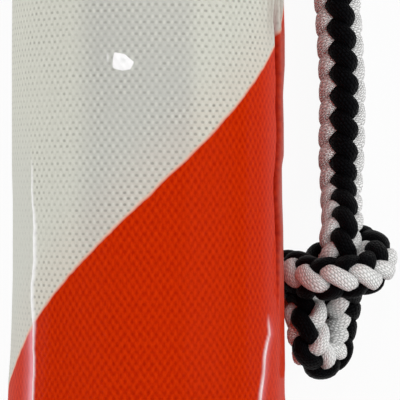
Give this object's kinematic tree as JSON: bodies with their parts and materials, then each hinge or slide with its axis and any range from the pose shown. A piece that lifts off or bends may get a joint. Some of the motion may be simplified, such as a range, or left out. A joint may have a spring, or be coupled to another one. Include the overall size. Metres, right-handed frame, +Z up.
{
  "type": "canvas training bumper",
  "caption": "Floating canvas retrieve bumper: a foam-filled cylinder with flat sewn ends and a knotted throw rope through a grommet.",
  "frame": {"origin": "on the surface the bumper lies on, under the middle of its length and width", "axes": "+Y along the bumper towards its rope end, +Z up, +X towards the side where the rope lies"},
  "size_m": [0.0875, 0.2553, 0.0516],
  "materials": {
    "canvas": "woven canvas under a clear gloss film, off-white on one side of a slanting line and orange-red on the other",
    "foam": "matt closed-cell foam",
    "tape": "ribbed black webbing tape",
    "thread": "twisted black bonded thread",
    "nickel": "nickel-plated brass, bright with fine wear",
    "rope": "round plait of black and white multifilament strands",
    "melted": "rope fibre melted into a hard black plug"
  },
  "bodies": {
    "bumper": {"cover": "canvas", "foam_core": "foam", "binding_rope_end": "tape", "binding_far_end": "tape", "binding_thread_rope_top": "thread", "binding_thread_rope_bottom": "thread", "binding_thread_far_top": "thread", "binding_thread_far_bottom": "thread", "closing_thread_rope_top": "thread", "closing_thread_rope_bottom": "thread", "closing_thread_far_top": "thread", "closing_thread_far_bottom": "thread", "seam_thread_lower": "thread", "seam_thread_upper": "thread", "grommet_eyelet": "nickel", "grommet_washer": "nickel"},
    "rope": {"throw_rope": "rope", "stopper_knot": "rope", "hand_knot": "rope", "stopper_knot_tip": "melted", "hand_knot_tip": "melted"}
  },
  "joints": [
    {"name": "rope_swivel", "type": "hinge", "parent": "bumper", "child": "rope", "pos_m": [0, 0.093, 0.0257], "axis": [0, 0, 1], "range_deg": [0, 150]}
  ]
}
